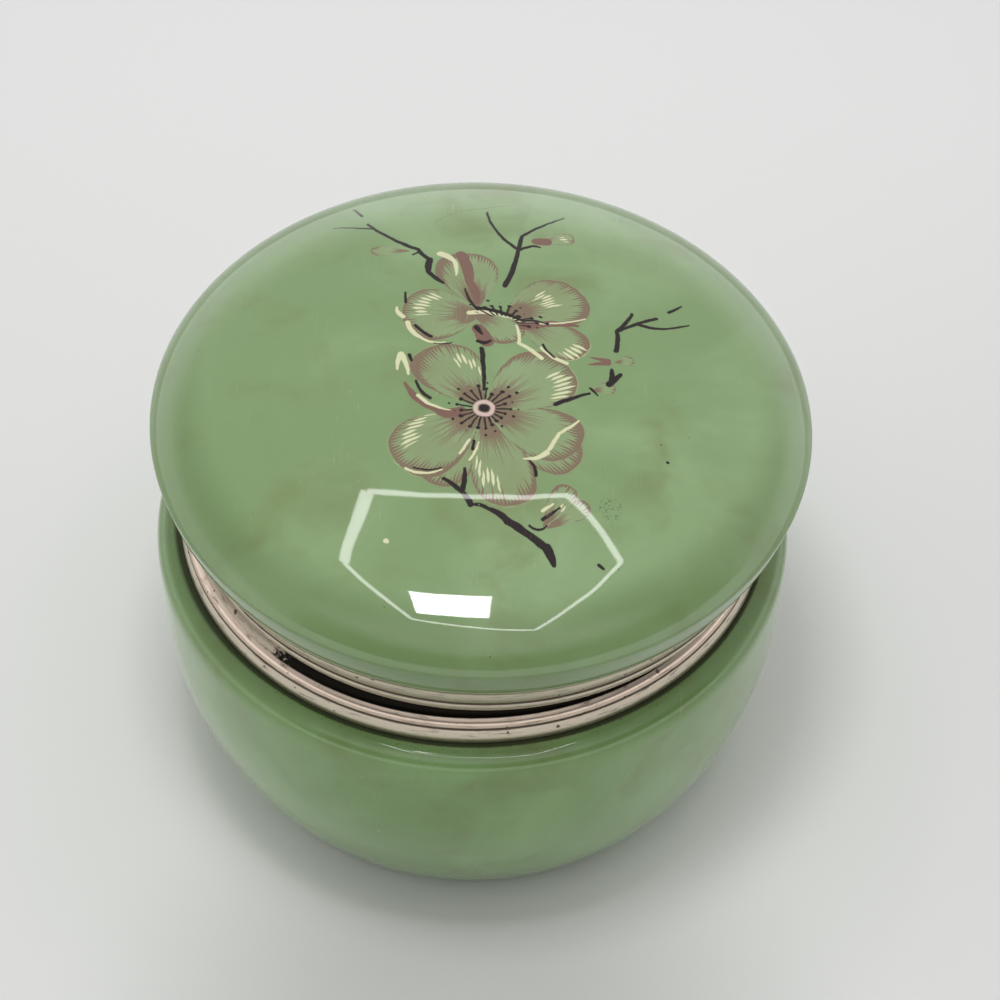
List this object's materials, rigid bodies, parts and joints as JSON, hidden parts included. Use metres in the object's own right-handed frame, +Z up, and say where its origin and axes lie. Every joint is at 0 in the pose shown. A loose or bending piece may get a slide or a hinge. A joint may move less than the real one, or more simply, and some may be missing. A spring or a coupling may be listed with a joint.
{
  "type": "alabaster trinket box",
  "caption": "Round green alabaster jewelry box with a domed lift-off lid, metal-edged rims and a printed blossom branch on top.",
  "frame": {"origin": "middle of the flat underside, on the surface that the box stands on", "axes": "+Z up through the lid, +Y to the back, +X to the right as the box is seen from the front"},
  "size_m": [0.1113, 0.11, 0.0871],
  "materials": {
    "green_alabaster": "polished, faintly translucent, dyed green",
    "aged_metal": "worn plated brass, dulled and pitted"
  },
  "bodies": {
    "root": {"bowl": "green_alabaster", "bowl_rim": "aged_metal", "lid": "green_alabaster", "lid_rim": "aged_metal"}
  },
  "joints": []
}
